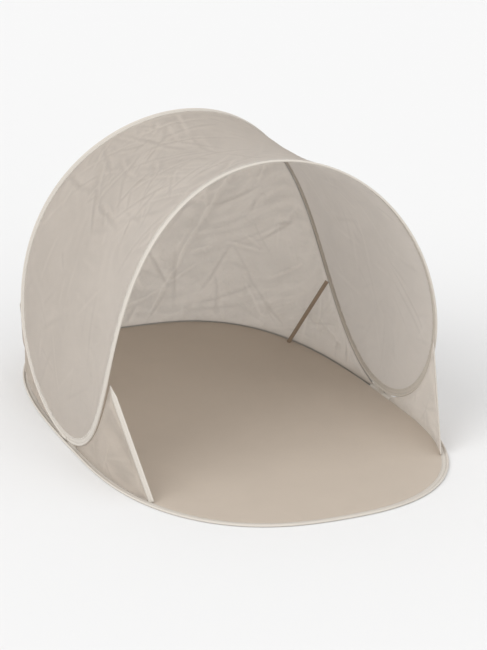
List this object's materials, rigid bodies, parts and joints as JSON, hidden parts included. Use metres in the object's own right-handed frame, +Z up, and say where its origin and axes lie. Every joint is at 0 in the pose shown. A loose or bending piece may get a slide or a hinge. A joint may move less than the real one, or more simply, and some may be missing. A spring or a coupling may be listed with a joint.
{
  "type": "pop up tent",
  "caption": "Low open-fronted pop-up shelter: oval floor on a spring-wire hoop, leaf-shaped canopy bent over it as a saddle, sloping back wall and two small front side gussets.",
  "frame": {"origin": "centre of the floor hoop's outline, on the ground", "axes": "+Z up, the open mouth faces -Y, +X is to the right of someone looking in through the mouth"},
  "size_m": [1, 1.6, 0.8343],
  "materials": {
    "canopy_cloth": "thin plain-weave polyester, matt, lightly creased",
    "wall_cloth": "thin plain-weave polyester, matt, crinkled",
    "floor_cloth": "coated plain-weave polyester, low sheen",
    "hem_tape": "folded woven binding tape, matt",
    "strap_tape": "narrow woven tape, matt",
    "spring_wire": "drawn spring steel wire",
    "crimp_metal": "plated crimp tube"
  },
  "bodies": {
    "root": {"floor_hoop_wire": "spring_wire", "floor_hoop_crimp": "crimp_metal", "floor_hem_sleeve": "hem_tape", "floor_panel": "floor_cloth", "right_tip_wire": "spring_wire", "left_tip_wire": "spring_wire", "right_tip_sleeve": "hem_tape", "left_tip_sleeve": "hem_tape", "canopy_panel": "canopy_cloth", "back_wall": "wall_cloth", "right_gusset": "wall_cloth", "left_gusset": "wall_cloth", "right_gusset_binding": "hem_tape", "left_gusset_binding": "hem_tape", "right_wall_strap": "strap_tape", "left_wall_strap": "strap_tape", "right_strap_patch": "strap_tape", "left_strap_patch": "strap_tape", "right_tip_tab": "hem_tape", "left_tip_tab": "hem_tape"},
    "front_arch": {"front_arch_wire": "spring_wire", "front_arch_sleeve": "hem_tape"},
    "back_arch": {"back_arch_wire": "spring_wire", "back_arch_sleeve": "hem_tape", "canopy_hoop_crimp": "crimp_metal"}
  },
  "joints": [
    {"name": "front_arch_fold", "type": "hinge", "parent": "root", "child": "front_arch", "pos_m": [0, -0.055, 0.014], "axis": [-1, 0, 0], "range_deg": [0, 102], "stiffness_Nm_per_rad": 2, "springref_deg": -28.65, "deforming": ["canopy_panel", "right_gusset", "left_gusset", "right_gusset_binding", "left_gusset_binding", "right_tip_wire", "left_tip_wire", "right_tip_sleeve", "left_tip_sleeve"]},
    {"name": "back_arch_fold", "type": "hinge", "parent": "root", "child": "back_arch", "pos_m": [0, -0.055, 0.014], "axis": [-1, 0, 0], "range_deg": [0, 57.2], "deforming": ["back_wall", "right_wall_strap", "left_wall_strap"]}
  ],
  "couplings": [
    {"joint": "back_arch_fold", "follows": "front_arch_fold", "ratio": 0.56}
  ]
}
